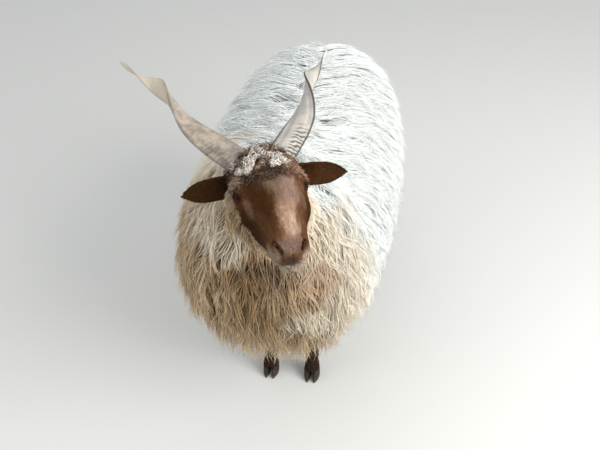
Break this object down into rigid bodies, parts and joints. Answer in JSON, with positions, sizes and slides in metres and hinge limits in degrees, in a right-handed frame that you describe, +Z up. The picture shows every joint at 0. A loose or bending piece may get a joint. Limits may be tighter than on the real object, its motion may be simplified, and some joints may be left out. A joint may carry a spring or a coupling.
{
  "type": "racka sheep",
  "caption": "Still life-size model of a standing long-fleeced sheep with corkscrew horns, her head raised and turned a little.",
  "frame": {"origin": "on the ground under the middle of the sheep's bounding box", "axes": "+Z up, -Y the way the sheep's body faces, +X her left side"},
  "size_m": [0.5726, 1.201, 0.9265],
  "materials": {
    "fleece": "long wavy cream-white wool in pointed locks",
    "face": "short sleek red-brown hair",
    "ear": "very short dark brown hair",
    "leg": "short dark brown hair",
    "horn": "ringed grey-tan horn, dark along its keels",
    "claw": "dark hoof horn",
    "eye": "wet dark brown eye"
  },
  "bodies": {
    "root": {"claw_foreleg_left_inner": "claw", "claw_foreleg_left_outer": "claw", "claw_foreleg_right_inner": "claw", "claw_foreleg_right_outer": "claw", "claw_hindleg_left_inner": "claw", "claw_hindleg_left_outer": "claw", "claw_hindleg_right_inner": "claw", "claw_hindleg_right_outer": "claw", "ear_left": "ear", "ear_right": "ear", "eye_left": "eye", "eye_right": "eye", "foreleg_left": "leg", "foreleg_right": "leg", "head": "face", "hindleg_left": "leg", "hindleg_right": "leg", "horn_left": "horn", "horn_right": "horn", "neck": "fleece", "tail": "fleece", "torso": "fleece"}
  },
  "joints": []
}
